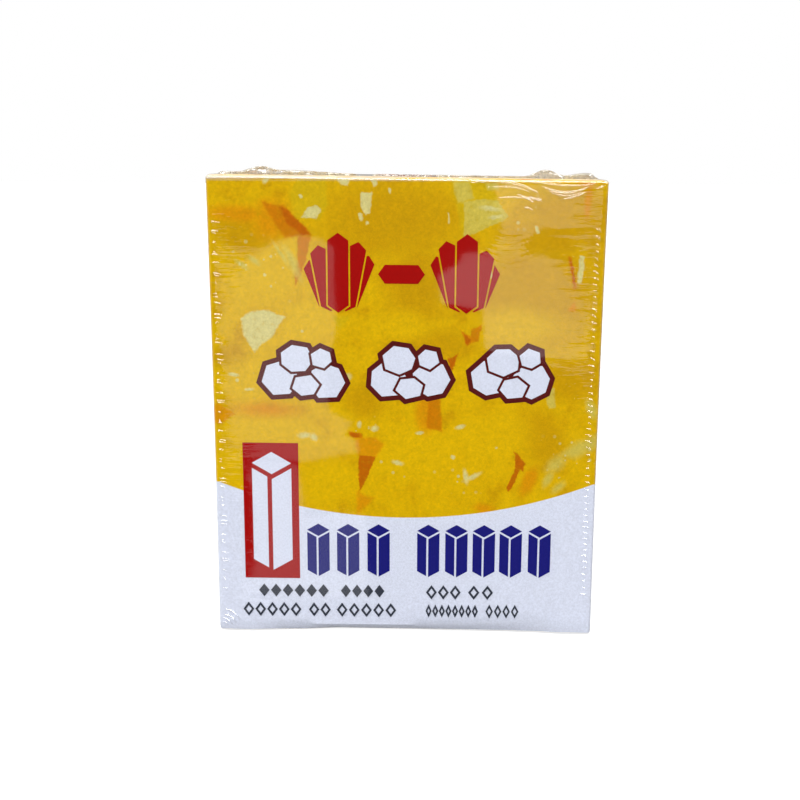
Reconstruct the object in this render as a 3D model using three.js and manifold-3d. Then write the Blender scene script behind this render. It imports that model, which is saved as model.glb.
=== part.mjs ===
// A shut paperboard carton of rock sugar lumps, sealed in clear shrink film, standing upright.
// Units are millimetres, +Z is up and the front panel faces -Y.
// The origin is on the floor, under the middle of the pack.

import * as THREE from 'three';
import Module from 'manifold-3d';
import { mergeVertices } from 'three/addons/utils/BufferGeometryUtils.js';

const wasm = await Module();
wasm.setup();

// The pack, measured over the film and without its seam.
const PACK_WIDTH = 110;
const PACK_DEPTH = 43;
const PACK_HEIGHT = 133;
const EDGE_RADIUS = 1.2;

// The lumps inside push the wide panels out, which draws the upright edges in a little.
const PANEL_BULGE = 0.8;
const EDGE_BOW = 0.22;

// The glued top sits a little askew: higher at the left end than at the right.
const TOP_LEAN = 0.6;
const LEAN_POWER = 4;

// The foot of the front and back panels is crushed under. Each crease says how far the panel is
// drawn in at the floor, and how high above the floor it starts to turn under.
const FOOT_CREASES = [
  { x: -55, depth: 1.2, height: 2.6 },
  { x: -47, depth: 0.6, height: 2.7 },
  { x: -32, depth: 2.3, height: 2.4 },
  { x: -19, depth: 3.6, height: 3.0 },
  { x: 0, depth: 3.2, height: 3.2 },
  { x: 14, depth: 2.6, height: 3.8 },
  { x: 29, depth: 2.0, height: 4.7 },
  { x: 38, depth: 1.4, height: 5.6 },
  { x: 46, depth: 0.5, height: 4.0 },
  { x: 55, depth: 0.4, height: 2.0 },
];
const FOOT_CURL = 1.3;
const FOOT_TOP = 6;

// The film is a thin skin that stands just clear of the board.
const FILM_THICKNESS = 0.3;
const FILM_CLEARANCE = 0.3;
const VENT_RADIUS = 1.5;
const VENT_X = 26;
const VENT_Z = 104;
const VENT_SIDES = 16;

// The film's welded seam is a thin fin up one side, across the top and down the other side.
const SEAM_THICKNESS = 0.5;
const SEAM_FOOT_Z = 6;
const SEAM_RUN_OUT = 8;
const SEAM_SIDE_REACH = 0.9;
const SEAM_SCALLOP = 0.3;
const SEAM_SCALLOP_PITCH = 11;
const SEAM_TOP_REACH = 0.3;
const SEAM_ROOT = 3;
const SEAM_STEPS_SIDE = 36;
const SEAM_STEPS_TOP = 60;
const SEAM_STEPS_CORNER = 3;

// The spare film at the corners is drawn into ears that stand up from the top seam.
const TOP_EARS = [
  { x: -42, halfWidth: 9, height: 2.0 },
  { x: -28, halfWidth: 14, height: 0.8 },
  { x: 40, halfWidth: 8, height: 2.4 },
  { x: 52, halfWidth: 6, height: 1.1 },
];

// The board shows its cut edges: the top and bottom flaps' and the side panel's lap.
const CUT_EDGE_WIDTH = 0.5;
const CUT_EDGE_DEPTH = 0.4;
const FLAP_SETBACK = 2;
const LAP_SETBACK = 1.6;

// Mesh steps: through a rounded edge, up the crushed foot, and along each flat.
const ARC_STEPS = 2;
const FOOT_STEPS = 5;
const STEPS_X = 16;
const STEPS_Y = 4;
const STEPS_Z = 10;

const BOARD_INSET = FILM_THICKNESS + FILM_CLEARANCE;

function evenly(from, to, steps) {
  return Array.from({ length: steps + 1 }, (_, step) => from + ((to - from) * step) / steps);
}

// Grid positions along one axis: steps through the rounded edge at each end, flats between.
function gridPositions(low, high, radius, flats) {
  const arc = evenly(1, ARC_STEPS, ARC_STEPS - 1)
    .map((step) => radius * Math.tan((step / ARC_STEPS) * (Math.PI / 4)));
  const below = arc.map((reach) => low + radius - reach).reverse();
  const above = arc.map((reach) => high - radius + reach);
  return [...below, ...flats, ...above];
}

// How far the foot is drawn in at a place on a wide panel.
function footAt(x, z) {
  const next = Math.max(1, FOOT_CREASES.findIndex((crease) => crease.x >= x));
  const [before, after] = [FOOT_CREASES[next - 1], FOOT_CREASES[next]];
  const share = THREE.MathUtils.smoothstep(x, before.x, after.x);
  const depth = THREE.MathUtils.lerp(before.depth, after.depth, share);
  const height = THREE.MathUtils.lerp(before.height, after.height, share);
  return depth * Math.max(0, 1 - z / height) ** FOOT_CURL;
}

// How much lower the askew top lies at a place, most at the right end of the top.
function leanAt(x, z) {
  return (x / (PACK_WIDTH / 2)) * TOP_LEAN * (z / PACK_HEIGHT) ** LEAN_POWER;
}

// A filled carton's form: the panels bulge, the upright edges bow in, the foot is crushed under
// and the top leans.
function fillOut(point) {
  const across = point.x / (PACK_WIDTH / 2);
  const upward = point.z / (PACK_HEIGHT / 2) - 1;
  const middle = Math.max(0, 1 - upward * upward);
  const crown = PANEL_BULGE * middle * Math.max(0, 1 - across * across);
  point.y += (point.y / (PACK_DEPTH / 2)) * (crown - footAt(point.x, point.z));
  point.z -= leanAt(point.x, point.z);
  point.x -= across * EDGE_BOW * middle;
  return point;
}

// The closed surface that lies a given distance inside the film's outer face.
function packSurface(inset) {
  const radius = EDGE_RADIUS - inset;
  const high = new THREE.Vector3(PACK_WIDTH / 2, PACK_DEPTH / 2, PACK_HEIGHT).subScalar(inset);
  const low = new THREE.Vector3(-high.x, -high.y, inset);
  const innerLow = low.clone().addScalar(radius);
  const innerHigh = high.clone().subScalar(radius);
  const rows = [
    gridPositions(low.x, high.x, radius, evenly(innerLow.x, innerHigh.x, STEPS_X)),
    gridPositions(low.y, high.y, radius, evenly(innerLow.y, innerHigh.y, STEPS_Y)),
    gridPositions(low.z, high.z, radius, [
      ...evenly(innerLow.z, FOOT_TOP, FOOT_STEPS),
      ...evenly(FOOT_TOP, innerHigh.z, STEPS_Z).slice(1),
    ]),
  ];
  const steps = rows.map((row) => row.length - 1);
  const geometry = new THREE.BoxGeometry(2, 2, 2, ...steps);
  const position = geometry.attributes.position;
  for (let i = 0; i < position.count; i++) {
    const grid = [position.getX(i), position.getY(i), position.getZ(i)];
    const [x, y, z] = grid.map((place, axis) => rows[axis][Math.round(((place + 1) / 2) * steps[axis])]);
    const onBox = new THREE.Vector3(x, y, z);
    const core = onBox.clone().clamp(innerLow, innerHigh);
    const rounded = onBox.sub(core).setLength(radius).add(core);
    position.setXYZ(i, ...fillOut(rounded));
  }
  return geometry;
}

function toSolid(geometry) {
  geometry.deleteAttribute('normal');
  geometry.deleteAttribute('uv');
  const { attributes, index } = mergeVertices(geometry);
  const vertProperties = new Float32Array(attributes.position.array);
  const triVerts = new Uint32Array(index.array);
  return new wasm.Manifold(new wasm.Mesh({ numProp: 3, vertProperties, triVerts }));
}

function toMesh(name, solid, material) {
  const { vertProperties, triVerts } = solid.getMesh();
  const geometry = new THREE.BufferGeometry();
  geometry.setAttribute('position', new THREE.BufferAttribute(new Float32Array(vertProperties), 3));
  geometry.setIndex(new THREE.BufferAttribute(new Uint32Array(triVerts), 1));
  geometry.computeVertexNormals();
  const mesh = new THREE.Mesh(geometry, material);
  mesh.name = name;
  return mesh;
}

function boxSolid(size, centre) {
  const geometry = new THREE.BoxGeometry(...size);
  geometry.translate(...centre);
  return toSolid(geometry);
}

function ventSolid(x) {
  const geometry = new THREE.CylinderGeometry(VENT_RADIUS, VENT_RADIUS, PACK_DEPTH / 2, VENT_SIDES);
  geometry.translate(x, PACK_DEPTH / 2, VENT_Z);
  return toSolid(geometry);
}

// How far the seam stands out of the side at a height, scalloped where the film shrank.
function sideReach(z) {
  const scallop = (1 - Math.cos((2 * Math.PI * (PACK_HEIGHT - z)) / SEAM_SCALLOP_PITCH)) / 2;
  const runOut = Math.min(1, (z - SEAM_FOOT_Z) / SEAM_RUN_OUT);
  return runOut * (SEAM_SIDE_REACH - SEAM_SCALLOP * scallop);
}

// How far the seam stands up from the top: a low line, the ears and a rise into each corner.
function topReach(x) {
  const corners = [-1, 1].map((side) => ({
    x: (side * PACK_WIDTH) / 2,
    halfWidth: SEAM_RUN_OUT,
    height: SEAM_SIDE_REACH - SEAM_TOP_REACH,
  }));
  return [...TOP_EARS, ...corners].reduce((reach, ear) => {
    const away = Math.min(1, Math.abs(x - ear.x) / ear.halfWidth);
    return reach + ear.height * Math.cos((away * Math.PI) / 2) ** 2;
  }, SEAM_TOP_REACH);
}

// The seam's outline in the pack's middle plane, rooted inside the pack.
function seamSolid() {
  const side = PACK_WIDTH / 2;
  const shoulderX = side - EDGE_RADIUS;
  const shoulderZ = PACK_HEIGHT - EDGE_RADIUS;
  const half = [];
  for (const z of evenly(SEAM_FOOT_Z, shoulderZ, SEAM_STEPS_SIDE)) {
    half.push(new THREE.Vector2(side + sideReach(z), z));
  }
  for (const turn of evenly(0, Math.PI / 2, SEAM_STEPS_CORNER).slice(1, -1)) {
    const reach = EDGE_RADIUS + SEAM_SIDE_REACH;
    half.push(new THREE.Vector2(shoulderX + reach * Math.cos(turn), shoulderZ + reach * Math.sin(turn)));
  }
  const top = evenly(shoulderX, -shoulderX, SEAM_STEPS_TOP)
    .map((x) => new THREE.Vector2(x, PACK_HEIGHT + topReach(x)));
  const mirrored = half.map((point) => new THREE.Vector2(-point.x, point.y)).reverse();
  const rootX = side - SEAM_ROOT;
  const rootZ = PACK_HEIGHT - SEAM_ROOT;
  const root = [[-rootX, SEAM_FOOT_Z], [-rootX, rootZ], [rootX, rootZ], [rootX, SEAM_FOOT_Z]]
    .map(([x, z]) => new THREE.Vector2(x, z));
  const upright = [...half, ...top, ...mirrored, ...root];
  const outline = new THREE.Shape(upright.map(({ x, y }) => new THREE.Vector2(x, y - leanAt(x, y))));
  const geometry = new THREE.ExtrudeGeometry(outline, { depth: SEAM_THICKNESS, bevelEnabled: false });
  geometry.rotateX(Math.PI / 2);
  geometry.translate(0, SEAM_THICKNESS / 2, 0);
  return toSolid(geometry);
}

// The shut carton: one blank, glued, with its flaps' cut edges near the front folds and the
// lap's cut edge near the back fold of the left side panel.
function cartonSolid() {
  const front = -PACK_DEPTH / 2 + BOARD_INSET;
  const back = PACK_DEPTH / 2 - BOARD_INSET;
  const left = -PACK_WIDTH / 2 + BOARD_INSET;
  const bottom = BOARD_INSET;
  const top = PACK_HEIGHT - BOARD_INSET;
  const flapEdge = (z) => boxSolid(
    [PACK_WIDTH, CUT_EDGE_WIDTH, 2 * CUT_EDGE_DEPTH],
    [0, front + FLAP_SETBACK, z],
  );
  const lapEdge = boxSolid(
    [2 * CUT_EDGE_DEPTH, CUT_EDGE_WIDTH, PACK_HEIGHT],
    [left, back - LAP_SETBACK, PACK_HEIGHT / 2],
  );
  return toSolid(packSurface(BOARD_INSET))
    .subtract(flapEdge(top))
    .subtract(flapEdge(bottom))
    .subtract(lapEdge);
}

// The film: a skin all round the carton with its seam fin, and two vents in the back.
function filmSolid() {
  return toSolid(packSurface(0))
    .add(seamSolid())
    .subtract(toSolid(packSurface(FILM_THICKNESS)))
    .subtract(ventSolid(-VENT_X))
    .subtract(ventSolid(VENT_X));
}

const printedBoard = new THREE.MeshStandardMaterial({ color: 0xd9a800, roughness: 0.55, metalness: 0 });
const clearFilm = new THREE.MeshStandardMaterial({
  color: 0xf4f6f8,
  roughness: 0.12,
  metalness: 0,
  transparent: true,
  opacity: 0.3,
});

const pack = new THREE.Group();
pack.add(toMesh('carton', cartonSolid(), printedBoard));
pack.add(toMesh('film', filmSolid(), clearFilm));

export default pack;
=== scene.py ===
import math

import bpy
import numpy as np
from mathutils import Color, Matrix, Vector, noise
from mathutils.geometry import delaunay_2d_cdt


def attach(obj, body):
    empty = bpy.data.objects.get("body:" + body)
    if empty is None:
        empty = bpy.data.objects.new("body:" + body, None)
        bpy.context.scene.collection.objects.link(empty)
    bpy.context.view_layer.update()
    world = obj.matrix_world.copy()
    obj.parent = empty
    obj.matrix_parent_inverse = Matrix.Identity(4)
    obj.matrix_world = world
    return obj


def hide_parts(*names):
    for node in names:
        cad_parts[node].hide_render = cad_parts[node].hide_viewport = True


# A shut carton of rock sugar lumps in clear shrink film, standing on a pale studio floor.
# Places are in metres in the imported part's frame: +Z up, the front panel facing -Y.
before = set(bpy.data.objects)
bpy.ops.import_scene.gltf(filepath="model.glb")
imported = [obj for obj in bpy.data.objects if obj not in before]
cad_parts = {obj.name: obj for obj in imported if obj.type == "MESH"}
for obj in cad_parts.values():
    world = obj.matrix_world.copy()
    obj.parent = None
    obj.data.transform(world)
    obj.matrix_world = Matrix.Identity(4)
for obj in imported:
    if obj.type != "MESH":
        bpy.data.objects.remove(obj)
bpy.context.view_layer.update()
scene = bpy.context.scene
MM = 0.001


# The carton: one blank of coated white board, creased, folded round and glued along one side.
# The lumps in it push the wide panels out, which draws the upright edges in a little. The foot
# of both wide panels is crushed under in shallow creases, and the top was glued a bit askew.
WIDTH, DEPTH, HEIGHT = 110 * MM, 43 * MM, 133 * MM
PANEL_BULGE = 0.8 * MM
EDGE_BOW = 0.22 * MM
TOP_LEAN = 0.6 * MM
LEAN_POWER = 4
# Along the foot: the place across, how far the panel is drawn in, and how high that starts.
FOOT_CREASES = np.array([
    (-55, 1.2, 2.6), (-47, 0.6, 2.7), (-32, 2.3, 2.4), (-19, 3.6, 3.0), (0, 3.2, 3.2),
    (14, 2.6, 3.8), (29, 2.0, 4.7), (38, 1.4, 5.6), (46, 0.5, 4.0), (55, 0.4, 2.0),
]) * MM
FOOT_CURL = 1.3
BOARD_INSET = 0.16 * MM
BOARD_THICKNESS = 0.4 * MM
FOLD_RADIUS = 0.7 * MM
BOARD_GRID = 2 * MM
ROUND_STEPS = 4
CUT_WIDTH = 0.12 * MM
FLAP_FRONT_EDGE = -DEPTH / 2 + 2.6 * MM
FLAP_SIDE_EDGE = WIDTH / 2 - 1.1 * MM
LAP_EDGE = DEPTH / 2 - 2.2 * MM


def foot_at(x, z):
    """How far the crushed foot is drawn in at places on a wide panel."""
    crease = np.clip(np.searchsorted(FOOT_CREASES[:, 0], x), 1, len(FOOT_CREASES) - 1)
    before, after = FOOT_CREASES[crease - 1], FOOT_CREASES[crease]
    share = np.clip((x - before[:, 0]) / (after[:, 0] - before[:, 0]), 0, 1)
    share = share**2 * (3 - 2 * share)
    _, depth, height = (before + (after - before) * share[:, None]).T
    return depth * np.clip(1 - z / height, 0, None) ** FOOT_CURL


def lean_at(x, z):
    """How much lower the askew top lies, most at the right end of the top."""
    return x / (WIDTH / 2) * TOP_LEAN * (z / HEIGHT) ** LEAN_POWER


def fill_out(points):
    """Gives a plain box of points a filled carton's bulge, bowed edges, foot and top."""
    x, y, z = points.T
    across = x / (WIDTH / 2)
    upward = z / (HEIGHT / 2) - 1
    middle = np.clip(1 - upward**2, 0, None)
    crown = PANEL_BULGE * middle * np.clip(1 - across**2, 0, None)
    return np.column_stack([x - across * EDGE_BOW * middle,
                            y + y / (DEPTH / 2) * (crown - foot_at(x, z)),
                            z - lean_at(x, z)])


def rows_between(low, high, radius, size, extra=()):
    """Grid places from one face to the other, closer together through the rounded edges."""
    arc = radius * np.tan(np.linspace(math.pi / 4, 0, ROUND_STEPS + 1)[:-1])
    flat = np.linspace(low + radius, high - radius, round((high - low) / size))
    return np.unique(np.concatenate([low + radius - arc, flat, extra, high - radius + arc]))


def box_grid(rows):
    """The points and outward faces of a closed box, cut along three lists of rows."""
    corners = {}
    faces = []
    for axis in range(3):
        along, up = (axis + 1) % 3, (axis + 2) % 3
        for end in (0, len(rows[axis]) - 1):
            for i in range(len(rows[along]) - 1):
                for j in range(len(rows[up]) - 1):
                    ring = []
                    for step_i, step_j in ((0, 0), (1, 0), (1, 1), (0, 1)):
                        place = [0, 0, 0]
                        place[axis], place[along], place[up] = end, i + step_i, j + step_j
                        ring.append(corners.setdefault(tuple(place), len(corners)))
                    faces.append(ring if end else ring[::-1])
    index = np.array(list(corners))
    return np.column_stack([rows[axis][index[:, axis]] for axis in range(3)]), faces


def round_edges(points, low, high, radius):
    """Pulls a box's points onto rounded edges and corners."""
    core = np.clip(points, low + radius, high - radius)
    away = points - core
    return core + away * (radius / np.linalg.norm(away, axis=1))[:, None]


def new_mesh(name, points, faces, material):
    mesh = bpy.data.meshes.new(name)
    mesh.from_pydata([tuple(point) for point in points], [], faces)
    mesh.materials.append(material)
    made = bpy.data.objects.new(name, mesh)
    scene.collection.objects.link(made)
    return made


def new_piece(name, points, faces, material, smooth_below=35):
    """A mesh object that is part of the pack, shaded smooth but for its sharp edges."""
    piece = new_mesh(name, points, faces, material)
    piece.data.shade_smooth()
    piece.data.set_sharp_from_angle(angle=math.radians(smooth_below))
    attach(piece, "root")
    return piece


def pack_faces(inset):
    """The pack's lowest and highest corners, drawn in by a given distance."""
    low = np.array([-WIDTH / 2, -DEPTH / 2, 0]) + inset
    return low, np.array([WIDTH / 2, DEPTH / 2, HEIGHT]) - inset


# The print: a generic picture of golden sugar lumps over a white field with a bowed top edge.
# It is offset printed and varnished, so it has a fine grain and an even satin finish.
def ink(red, green, blue):
    """A printed colour, given as it looks on screen from 0 to 255, as a shader colour."""
    return (*Color((red / 255, green / 255, blue / 255)).from_srgb_to_scene_linear(), 1)


def add(tree, kind, sockets=(), **settings):
    """A shader node with its settings, and its sockets given values or links."""
    made = tree.nodes.new("ShaderNode" + kind)
    for name, value in settings.items():
        setattr(made, name, value)
    for socket, value in dict(sockets).items():
        if isinstance(value, bpy.types.NodeSocket):
            tree.links.new(value, made.inputs[socket])
        else:
            made.inputs[socket].default_value = value
    return made


def maths(tree, operation, *values):
    """One number worked out from others."""
    return add(tree, "Math", enumerate(values), operation=operation).outputs[0]


def times(tree, first, second):
    return maths(tree, "MULTIPLY", first, second)


def fade(tree, value, low, high):
    """0 at low, 1 at high and a smooth step between."""
    sockets = {"Value": value, "From Min": low, "From Max": high}
    return add(tree, "MapRange", sockets, interpolation_type="SMOOTHSTEP").outputs[0]


def mottle(tree, place, scale, detail, roughness=0.5, output="Fac"):
    """Smooth noise from 0 to 1, with a given number of patches along each unit of a place."""
    noise_sockets = {"Vector": place, "Scale": scale, "Detail": detail, "Roughness": roughness}
    return add(tree, "TexNoise", noise_sockets).outputs[output]


def overprint(tree, share, under, over):
    """One colour laid over another, by a share from 0 to 1."""
    node = add(tree, "Mix", {0: share, 6: under, 7: over}, data_type="RGBA")
    return node.outputs[2]


def blend(tree, share, under, over):
    """One shader mixed with another, by a share from 0 to 1."""
    return add(tree, "MixShader", {0: share, 1: under, 2: over}).outputs[0]


def new_material(name):
    material = bpy.data.materials.new(name)
    material.use_nodes = True
    material.node_tree.nodes.clear()
    return material, material.node_tree


def finish_surface(tree, shader):
    output = add(tree, "OutputMaterial")
    tree.links.new(shader, output.inputs["Surface"])


def in_millimetres(tree):
    place = add(tree, "TexCoord").outputs["Object"]
    return add(tree, "VectorMath", {0: place, "Scale": 1 / MM}, operation="SCALE").outputs[0]


def taken_apart(tree, place):
    """A place's X, Y and Z."""
    return add(tree, "SeparateXYZ", {0: place}).outputs


GOLD = ink(214, 170, 0)
GOLD_DEEP = ink(201, 154, 0)
GOLD_BRIGHT = ink(224, 183, 2)
OLIVE_GOLD = ink(209, 178, 14)
ORANGE = ink(217, 145, 2)
AMBER = ink(203, 122, 0)
AMBER_DEEP = ink(189, 96, 0)
PALE_GOLD = ink(207, 190, 84)
CREAM = ink(215, 206, 138)
WHITE_FIELD = ink(222, 227, 243)
# The white field's bowed top: its lowest point, its radius, and where it runs level again.
FIELD_TOP_Z = 36.3
FIELD_ARC_RADIUS = 146.7
FIELD_ARC_REACH = 53.8
# The picture's edges wander gently and fray finely: how far, and over what distance.
WANDER, WANDER_SIZE = 1.6, 6
FRAY, FRAY_SIZE = 0.9, 0.9
FLECK_PITCH = 1.7
FLECK_RADIUS = 0.42
FLECK_SOFTNESS = 0.14
GRAIN_PER_MM = 1.7
LUMP_SIZE, LUMP_GAP_PITCH, LUMP_BEND = 11, 24, 7

# The picture on the wide panels, layer upon layer: a colour and how well it covers, its facets
# (how soft the edge is, then the corners) and its rounded spots (middle, half width and height,
# turn clockwise in degrees, and softness as a share of the spot). All are in millimetres.
PICTURE = (
    (GOLD_DEEP, 0.85, (), (
        (-4, 121.5, 20, 10, 0, 0.6), (3, 103, 9, 11, 0, 0.6), (37, 117, 13, 5, 10, 0.5),
        (-46, 117, 8, 4, 20, 0.5), (8, 87, 12, 5, 0, 0.6), (46, 77, 9, 6, 10, 0.6),
        (-12, 71, 6, 5, 20, 0.6), (39, 60, 6, 9, -30, 0.6), (-50, 83, 5, 4, 0, 0.5),
        (44, 122, 13, 9, 0, 0.5), (36, 101, 17, 15, 0, 0.5),
    )),
    (GOLD_BRIGHT, 0.85, (
        (1.0, (-51.5, 106.9), (-45, 110), (-39.3, 115), (-29.8, 116.2), (-28.9, 107.4), (-33.7, 102),
         (-47, 101)),
        (0.8, (-32.6, 98), (-27, 99.5), (-21.6, 95), (-20.8, 90), (-29, 87.4), (-34, 90)),
    ), (
        (4, 55, 16, 9, 0, 0.5), (25, 60, 10, 8, -20, 0.6), (-40, 62, 12, 5, 0, 0.5), (-1, 92, 8, 4, 0, 0.6),
        (-22, 47, 8, 6, 0, 0.6), (30, 92, 12, 5, 0, 0.6), (-41, 78, 11, 5, 0, 0.5), (-50, 47, 7, 9, 0, 0.5),
    )),
    (OLIVE_GOLD, 0.8, (
        (0.5, (-32.1, 128.8), (-29.3, 133), (-22.4, 133), (-21.4, 125.4), (-24.1, 121.5), (-31, 121.5)),
        (0.5, (-20.2, 94.4), (-15.4, 94.9), (-18.6, 91.2)),
        (0.8, (12.4, 132.6), (21.4, 132.6), (25, 126.8), (27.4, 121.8), (15.4, 116.4)),
    ), ((0.5, 75.6, 3.4, 3.4, 0, 0.4),)),
    (ORANGE, 0.85, (
        (0.6, (-14.2, 59.9), (-8.8, 60.3), (-6.2, 58.3), (-8.2, 54.6), (-13.4, 54.6)),
        (0.3, (-53.7, 69.8), (-48.2, 66.6), (-53.7, 63.3), (-56, 66.6)),
        (0.7, (45, 132.6), (52, 132.6), (50.2, 130.4), (47.6, 130.6)),
        (0.3, (44.6, 96.8), (47, 96.6), (46.8, 99.8)),
        (0.7, (-13.8, 44), (-9, 42.2), (-12.2, 38.6), (-13.9, 37)),
    ), (
        (-46.5, 123, 8, 2.2, 4, 0.7), (-37, 121.4, 5, 5.4, 35, 0.6), (5.6, 68, 2.6, 6.2, 0, 0.6),
        (35.4, 47.4, 1.9, 4.4, 25, 0.5), (22.6, 39.2, 2.6, 1.4, 10, 0.7), (-40, 68, 8, 2, 0, 0.9),
        (49.4, 127, 0.9, 5, 4, 0.4),
    )),
    (AMBER, 0.9, (
        (0.5, (-39.6, 126.3), (-33.3, 125), (-26.2, 117.3), (-33.2, 116.4), (-36.6, 121)),
        (0.4, (-30.4, 117.4), (-25.8, 116.8), (-29.6, 105), (-31.4, 102.4), (-30.6, 109)),
        (0.5, (6.4, 73.6), (10, 73), (10.3, 62.3), (6.0, 63.2)),
        (0.3, (15.3, 91.2), (19, 88.6), (16.8, 86.4)),
        (0.3, (18.2, 91.2), (21.3, 92.6), (20.1, 88), (18, 87.6)),
        (0.25, (44.2, 111.5), (45.5, 111.3), (46.9, 102.7), (46.2, 102.7)),
        (0.3, (-16.2, 62.1), (-12.4, 61.4), (-12.2, 59.9), (-14, 60.2)),
    ), ()),
    (AMBER_DEEP, 0.95, (
        (0.5, (-34.8, 124.6), (-32.9, 124.2), (-26, 117.2), (-29.2, 117.4), (-32.6, 120)),
        (0.25, (-13.3, 54.8), (-8.4, 54.6), (-10.7, 48.7), (-13.5, 43.8)),
        (0.3, (11.6, 83.2), (14.7, 84.6), (12.1, 78.4)),
        (0.25, (30.9, 56.4), (34.6, 52.6), (34.1, 50.4), (31.7, 51.6)),
        (0.25, (31.7, 51.7), (34.1, 50.6), (31, 46.2), (29.9, 43.6), (29, 45.9)),
        (0.2, (16.2, 90.2), (18.2, 88.4), (16.9, 86.8)),
        (0.3, (44.9, 110.4), (45.3, 110.4), (46.4, 104.4), (46, 104.4)),
    ), ((-14.4, 61, 1.5, 0.7, 10, 0.5),)),
    (PALE_GOLD, 0.85, (
        (0.25, (15.9, 126.6), (25.1, 127), (27.8, 122.4), (27, 121.6), (15.7, 116.5)),
        (0.5, (12.8, 131.6), (17, 131.6), (18.4, 127.2), (14.2, 126.2)),
        (0.4, (21.6, 131.4), (24.6, 131.2), (25, 129.6), (22, 129.4)),
        (0.3, (39.3, 75), (41.9, 74.8), (42.3, 69), (40.4, 68.8)),
        (1.4, (54.6, 61.6), (48.4, 58.8), (44.2, 55), (48.6, 54.4), (54.6, 58)),
    ), (
        (-31.4, 109.6, 1.0, 4.6, -28, 0.8), (-42.2, 110.4, 0.7, 1.8, -50, 0.7),
        (-45.5, 109.2, 0.6, 2, -55, 0.8), (-34.6, 112, 0.5, 3.4, -32, 0.9),
        (43, 52.6, 2.7, 1.7, -40, 0.8), (41, 48.2, 1, 2.3, 28, 0.8),
        (44, 45.7, 1.9, 1, -40, 0.8), (52.6, 68.6, 1.2, 2.6, -20, 0.6),
    )),
    (CREAM, 0.95, (
        (0.35, (-46.1, 94.1), (-43.6, 95.9), (-38.9, 96.4), (-33.3, 94.3), (-33.9, 91.8), (-38, 88.4),
         (-42, 82.6), (-44, 86.4), (-45.9, 89)),
        (0.25, (-28.7, 121.7), (-27.2, 124.7), (-24.8, 125.5), (-23.3, 124.3), (-24.8, 121.7)),
        (0.3, (-19.6, 132.8), (-15.4, 132.8), (-16, 130.5), (-17.7, 130.7)),
        (0.25, (-9.7, 132.6), (-8.2, 132.6), (-8, 130.8), (-9, 130.1)),
        (0.25, (-12.3, 128.9), (-9.2, 128.7), (-10, 122.9), (-11.2, 122.6), (-12.6, 125)),
        (0.2, (-13.2, 123.2), (-12.1, 123.1), (-11.8, 121.3), (-12.6, 121.2)),
        (0.25, (47.9, 111.9), (49.3, 111.7), (49, 107.4), (48, 104.1), (47.1, 104.4), (47.3, 107.6)),
        (0.2, (21.7, 109), (23.3, 108.4), (24.2, 105.6), (22.2, 106.6)),
        (0.2, (10.8, 123.6), (11.3, 123.4), (11.8, 120.4), (11.4, 120.4)),
        (0.2, (35.1, 120), (35.9, 120), (36.5, 118.2), (35.9, 117.9)),
    ), (
        (-29, 127.7, 0.55, 0.5, 0, 0.4), (-4.5, 129.2, 0.4, 0.7, 0, 0.4), (-38.4, 131.8, 0.9, 0.6, -20, 0.6),
        (-10.7, 120.7, 0.4, 0.4, 0, 0.5), (-28.8, 60.6, 1.6, 0.8, -10, 0.7), (-26.2, 60.2, 1, 0.9, 40, 0.7),
        (-8.9, 62.7, 1, 0.7, -20, 0.6), (-13, 63.9, 0.5, 0.9, 0, 0.6), (4, 61.6, 1, 0.5, 0, 0.5),
        (15.7, 63.4, 1.3, 0.5, -10, 0.6), (13.6, 54.6, 0.7, 0.5, 20, 0.5), (26, 57.5, 0.4, 0.3, 0, 0.5),
        (-2.2, 52.8, 1.5, 0.7, 10, 0.6), (17.4, 48.6, 0.6, 2, -8, 0.6), (19.2, 48.6, 2.4, 0.6, -28, 0.7),
        (-16.5, 77.6, 1.4, 0.8, -25, 0.6), (-48.6, 78, 1.4, 0.5, 10, 0.6), (-44.2, 74, 1.1, 0.4, 0, 0.6),
        (24.2, 122.4, 1.6, 0.5, -6, 0.7), (22.6, 124.6, 2.4, 0.5, 4, 0.8),
    )),
)
# Where the picture is strewn with pale specks: middle, half sizes, turn and softness, as above.
SPECKLED = (
    (-43, 77, 10, 5, 0, 0.5), (-27, 93, 6, 4, 0, 0.5), (-39, 108, 11, 7, 20, 0.5), (0, 52, 8, 3.5, 10, 0.5),
    (18, 48, 5, 4, 0, 0.5), (-12, 63, 6, 3, 0, 0.5), (47, 53, 8, 8, 40, 0.6), (32, 124, 5, 4, 0, 0.7),
)


def facet(tree, place, soft, corners):
    """How much of a place, given with a Y of 1, a flat-sided patch of the picture covers."""
    middle = sum((Vector(corner) for corner in corners), Vector((0, 0))) / len(corners)
    level = None
    for start, end in zip(corners, corners[1:] + corners[:1]):
        start, end = Vector(start), Vector(end)
        out = Vector((end.y - start.y, start.x - end.x)).normalized()
        if out.dot(middle - start) > 0:
            out.negate()
        side = {0: place, 1: (out.x, -out.dot(start), out.y)}
        beyond = add(tree, "VectorMath", side, operation="DOT_PRODUCT").outputs["Value"]
        level = beyond if level is None else maths(tree, "SMOOTH_MAX", level, beyond, 0.4)
    return fade(tree, level, soft, -soft)


def spot(tree, place, x, z, half_x, half_z, turn, soft):
    """How much of a place a rounded patch of the picture covers, from 0 to 1."""
    local = add(tree, "Mapping", {"Vector": place, "Location": (x, 0, z),
                                  "Rotation": (0, math.radians(turn), 0),
                                  "Scale": (half_x, 1e6, half_z)}, vector_type="TEXTURE")
    reach = add(tree, "VectorMath", {0: local.outputs[0]}, operation="LENGTH").outputs["Value"]
    return fade(tree, reach, 1 + soft, 1 - soft)


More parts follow.
